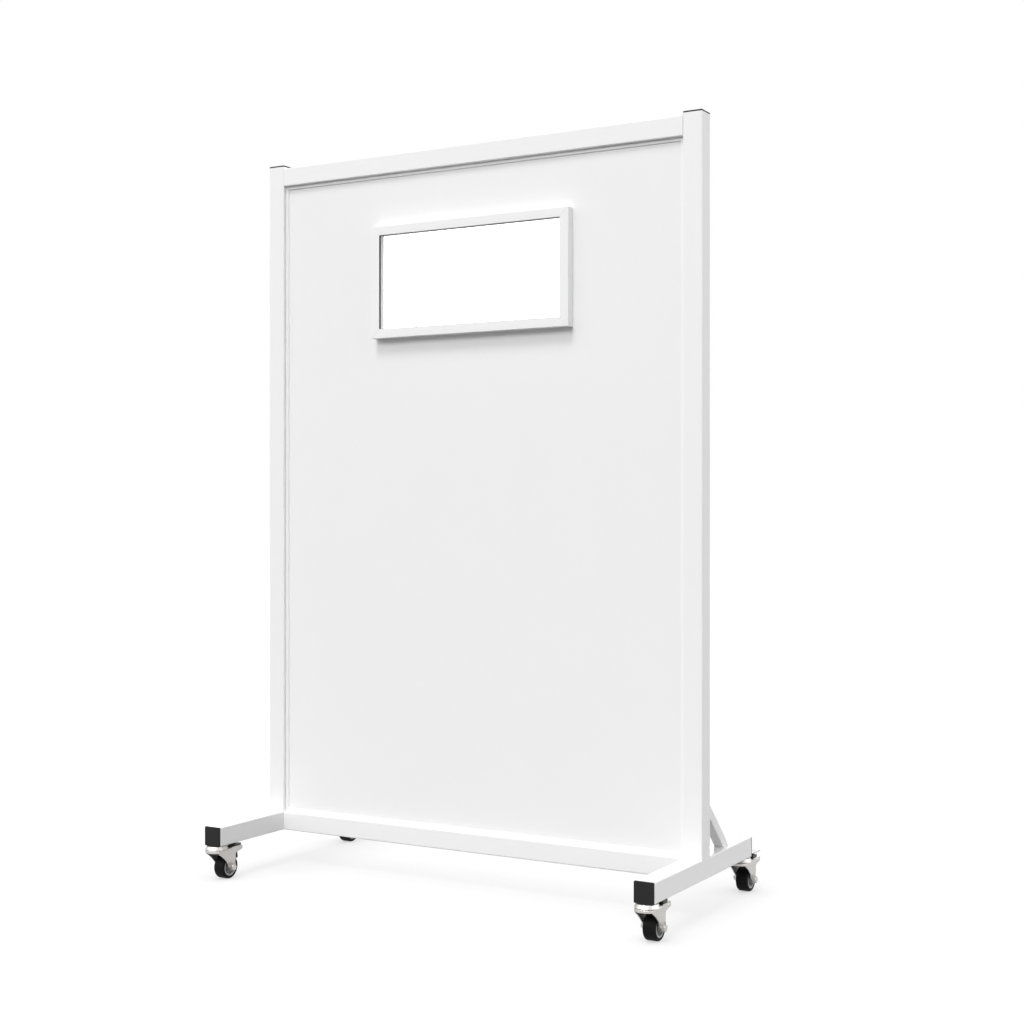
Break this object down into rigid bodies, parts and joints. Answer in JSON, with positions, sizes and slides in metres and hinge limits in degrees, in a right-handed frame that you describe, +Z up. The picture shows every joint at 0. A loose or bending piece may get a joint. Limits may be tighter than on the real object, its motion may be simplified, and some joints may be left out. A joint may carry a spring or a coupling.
{
  "type": "rolling partition",
  "caption": "Free-standing white partition panel with a small viewing window, in a square-tube frame on T feet with braked swivel casters.",
  "frame": {"origin": "on the floor, midway between the two posts and in the plane of their centres", "axes": "+X to the right seen from the front, +Y to the rear (the braces are behind the posts and the casters trail this way), +Z up"},
  "size_m": [1.3326, 0.707, 1.961],
  "materials": {
    "white_paint": "satin white powder coat",
    "white_board": "fibreboard faced with smooth satin white laminate",
    "lead": "dull rolled sheet",
    "window_glass": "clear polished",
    "gasket_rubber": "matte",
    "black_plastic": "fine-textured black",
    "zinc": "bright zinc plate",
    "bearing_steel": "polished",
    "grey_plastic": "moulded grey",
    "black_tyre": "smooth matte black",
    "black_paint": "black coat",
    "black_rubber": "matte"
  },
  "bodies": {
    "frame": {"post_left": "white_paint", "post_right": "white_paint", "top_rail": "white_paint", "bottom_rail": "white_paint", "foot_left": "white_paint", "foot_right": "white_paint", "brace_left": "white_paint", "brace_right": "white_paint", "post_caps": "black_plastic", "foot_caps": "black_plastic", "panel_front_board": "white_board", "panel_lead_sheet": "lead", "panel_rear_board": "white_board", "front_beads": "white_paint", "rear_beads": "white_paint", "bead_screws": "zinc", "window_frame_front": "white_paint", "window_glass": "window_glass", "window_gasket": "gasket_rubber", "window_stop": "white_paint", "window_trim_rear": "white_paint", "window_screws": "zinc", "caster_nuts": "zinc", "swivel_head_fl": "zinc", "swivel_head_fr": "zinc", "swivel_head_rl": "zinc", "swivel_head_rr": "zinc"},
    "caster_fl": {"fork_fl": "zinc", "ball_ring_fl": "bearing_steel", "axle_bolt_fl": "zinc", "axle_sleeve_fl": "zinc"},
    "wheel_fl": {"wheel_core_fl": "grey_plastic", "tyre_fl": "black_tyre"},
    "pedal_fl": {"brake_pedal_fl": "black_paint", "brake_shoe_fl": "black_rubber"},
    "caster_fr": {"fork_fr": "zinc", "ball_ring_fr": "bearing_steel", "axle_bolt_fr": "zinc", "axle_sleeve_fr": "zinc"},
    "wheel_fr": {"wheel_core_fr": "grey_plastic", "tyre_fr": "black_tyre"},
    "pedal_fr": {"brake_pedal_fr": "black_paint", "brake_shoe_fr": "black_rubber"},
    "caster_rl": {"fork_rl": "zinc", "ball_ring_rl": "bearing_steel", "axle_bolt_rl": "zinc", "axle_sleeve_rl": "zinc"},
    "wheel_rl": {"wheel_core_rl": "grey_plastic", "tyre_rl": "black_tyre"},
    "pedal_rl": {"brake_pedal_rl": "black_paint", "brake_shoe_rl": "black_rubber"},
    "caster_rr": {"fork_rr": "zinc", "ball_ring_rr": "bearing_steel", "axle_bolt_rr": "zinc", "axle_sleeve_rr": "zinc"},
    "wheel_rr": {"wheel_core_rr": "grey_plastic", "tyre_rr": "black_tyre"},
    "pedal_rr": {"brake_pedal_rr": "black_paint", "brake_shoe_rr": "black_rubber"}
  },
  "joints": [
    {"name": "swivel_fl", "type": "hinge", "parent": "frame", "child": "caster_fl", "pos_m": [-0.635, -0.2815, 0.085], "axis": [0, 0, 1], "continuous": true},
    {"name": "roll_fl", "type": "hinge", "parent": "caster_fl", "child": "wheel_fl", "pos_m": [-0.635, -0.2435, 0.03175], "axis": [1, 0, 0], "continuous": true},
    {"name": "brake_fl", "type": "hinge", "parent": "caster_fl", "child": "pedal_fl", "pos_m": [-0.635, -0.2155, 0.07875], "axis": [-1, 0, 0], "range_deg": [0, 12]},
    {"name": "swivel_fr", "type": "hinge", "parent": "frame", "child": "caster_fr", "pos_m": [0.635, -0.2815, 0.085], "axis": [0, 0, 1], "continuous": true},
    {"name": "roll_fr", "type": "hinge", "parent": "caster_fr", "child": "wheel_fr", "pos_m": [0.635, -0.2435, 0.03175], "axis": [1, 0, 0], "continuous": true},
    {"name": "brake_fr", "type": "hinge", "parent": "caster_fr", "child": "pedal_fr", "pos_m": [0.635, -0.2155, 0.07875], "axis": [-1, 0, 0], "range_deg": [0, 12]},
    {"name": "swivel_rl", "type": "hinge", "parent": "frame", "child": "caster_rl", "pos_m": [-0.635, 0.2815, 0.085], "axis": [0, 0, 1], "continuous": true},
    {"name": "roll_rl", "type": "hinge", "parent": "caster_rl", "child": "wheel_rl", "pos_m": [-0.635, 0.3195, 0.03175], "axis": [1, 0, 0], "continuous": true},
    {"name": "brake_rl", "type": "hinge", "parent": "caster_rl", "child": "pedal_rl", "pos_m": [-0.635, 0.3475, 0.07875], "axis": [-1, 0, 0], "range_deg": [0, 12]},
    {"name": "swivel_rr", "type": "hinge", "parent": "frame", "child": "caster_rr", "pos_m": [0.635, 0.2815, 0.085], "axis": [0, 0, 1], "continuous": true},
    {"name": "roll_rr", "type": "hinge", "parent": "caster_rr", "child": "wheel_rr", "pos_m": [0.635, 0.3195, 0.03175], "axis": [1, 0, 0], "continuous": true},
    {"name": "brake_rr", "type": "hinge", "parent": "caster_rr", "child": "pedal_rr", "pos_m": [0.635, 0.3475, 0.07875], "axis": [-1, 0, 0], "range_deg": [0, 12]}
  ]
}
